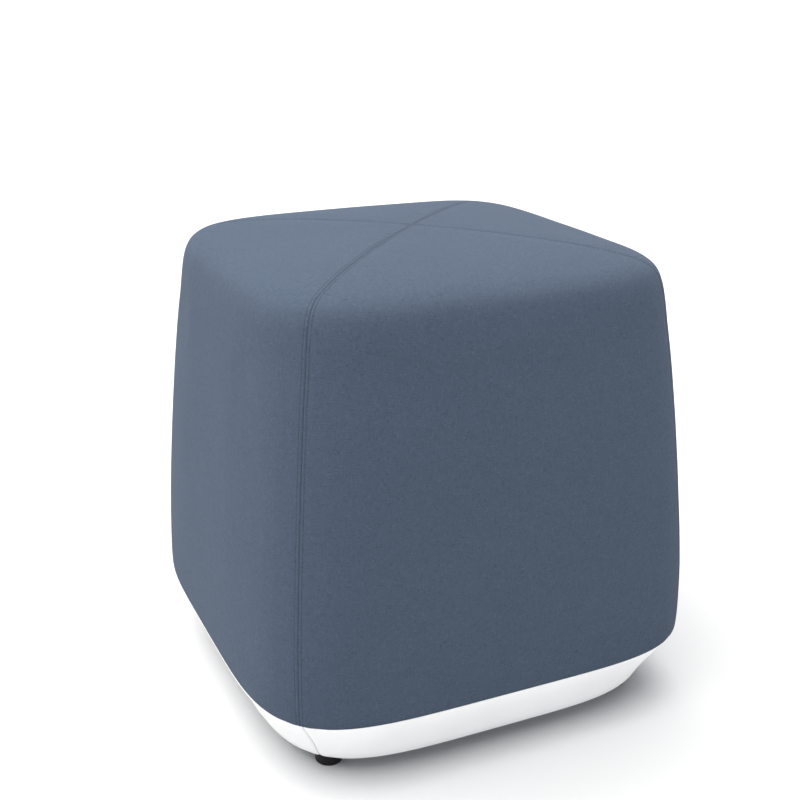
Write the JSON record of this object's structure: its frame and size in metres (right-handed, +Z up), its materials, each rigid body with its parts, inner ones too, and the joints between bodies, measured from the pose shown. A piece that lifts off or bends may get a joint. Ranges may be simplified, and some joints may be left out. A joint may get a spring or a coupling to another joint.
{
  "type": "cube pouf stool",
  "caption": "Cube-shaped upholstered pouf stool with rounded edges, seams crossing on the seat and running down the corners, a low pale base band and small round glides.",
  "frame": {"origin": "on the floor under the middle of the pouf", "axes": "+Z up, -Y towards the front panel, +X to the right of the front"},
  "size_m": [0.448, 0.448, 0.4548],
  "materials": {
    "cover_cloth": "matt slate-blue plain weave with faint lighter and darker flecks",
    "base_cloth": "very pale grey coated cloth, satin",
    "glide_plastic": "black, finely grained"
  },
  "bodies": {
    "root": {"cover_panel_front": "cover_cloth", "cover_panel_right": "cover_cloth", "cover_panel_back": "cover_cloth", "cover_panel_left": "cover_cloth", "base_panel_front": "base_cloth", "base_panel_right": "base_cloth", "base_panel_back": "base_cloth", "base_panel_left": "base_cloth", "glide_front_left": "glide_plastic", "glide_front_right": "glide_plastic", "glide_back_right": "glide_plastic", "glide_back_left": "glide_plastic"}
  },
  "joints": []
}
